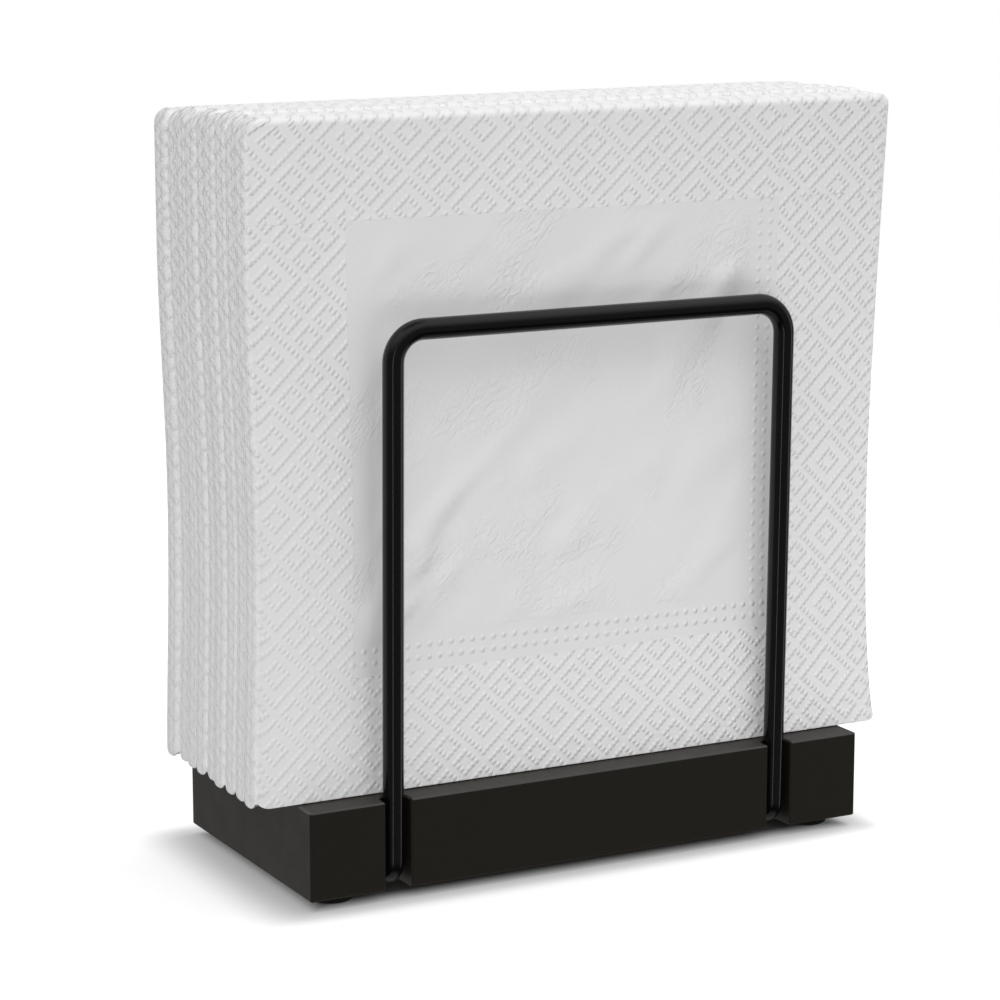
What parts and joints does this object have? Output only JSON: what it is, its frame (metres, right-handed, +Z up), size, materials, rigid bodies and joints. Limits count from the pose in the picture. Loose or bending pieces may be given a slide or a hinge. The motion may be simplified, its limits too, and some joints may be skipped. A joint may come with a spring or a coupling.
{
  "type": "napkin holder",
  "caption": "Upright napkin holder: a black wooden block on rubber feet with a bent black rod hoop front and rear, filled with folded embossed paper napkins that lift out.",
  "frame": {"origin": "centre of the bounding box in plan, on the surface that the feet stand on", "axes": "+X along the front towards the napkins' open edges, -Y out of the front hoop, +Z up"},
  "size_m": [0.1718, 0.0732, 0.1832],
  "materials": {
    "block": "satin black paint over fine wood grain",
    "rod": "satin black powder coat",
    "plates": "dark grey painted steel",
    "screws": "bright zinc plated",
    "feet": "matt black",
    "paper": "white tissue embossed with raised dots in diamonds"
  },
  "bodies": {
    "holder": {"base_block": "block", "front_hoop": "rod", "rear_hoop": "rod", "left_clamp_plate": "plates", "right_clamp_plate": "plates", "clamp_screws": "screws", "foot_front_left": "feet", "foot_front_right": "feet", "foot_rear_left": "feet", "foot_rear_right": "feet"},
    "napkin_1": {"napkin_1": "paper"},
    "napkin_2": {"napkin_2": "paper"},
    "napkin_3": {"napkin_3": "paper"},
    "napkin_4": {"napkin_4": "paper"},
    "napkin_5": {"napkin_5": "paper"},
    "napkin_6": {"napkin_6": "paper"},
    "napkin_7": {"napkin_7": "paper"},
    "napkin_8": {"napkin_8": "paper"},
    "napkin_9": {"napkin_9": "paper"}
  },
  "joints": [
    {"name": "napkin_1_lift", "type": "slide", "parent": "holder", "child": "napkin_1", "axis": [0, 0, 1], "range_m": [0, 0.165]},
    {"name": "napkin_2_lift", "type": "slide", "parent": "holder", "child": "napkin_2", "axis": [0, 0, 1], "range_m": [0, 0.165]},
    {"name": "napkin_3_lift", "type": "slide", "parent": "holder", "child": "napkin_3", "axis": [0, 0, 1], "range_m": [0, 0.165]},
    {"name": "napkin_4_lift", "type": "slide", "parent": "holder", "child": "napkin_4", "axis": [0, 0, 1], "range_m": [0, 0.165]},
    {"name": "napkin_5_lift", "type": "slide", "parent": "holder", "child": "napkin_5", "axis": [0, 0, 1], "range_m": [0, 0.165]},
    {"name": "napkin_6_lift", "type": "slide", "parent": "holder", "child": "napkin_6", "axis": [0, 0, 1], "range_m": [0, 0.165]},
    {"name": "napkin_7_lift", "type": "slide", "parent": "holder", "child": "napkin_7", "axis": [0, 0, 1], "range_m": [0, 0.165]},
    {"name": "napkin_8_lift", "type": "slide", "parent": "holder", "child": "napkin_8", "axis": [0, 0, 1], "range_m": [0, 0.165]},
    {"name": "napkin_9_lift", "type": "slide", "parent": "holder", "child": "napkin_9", "axis": [0, 0, 1], "range_m": [0, 0.165]}
  ]
}
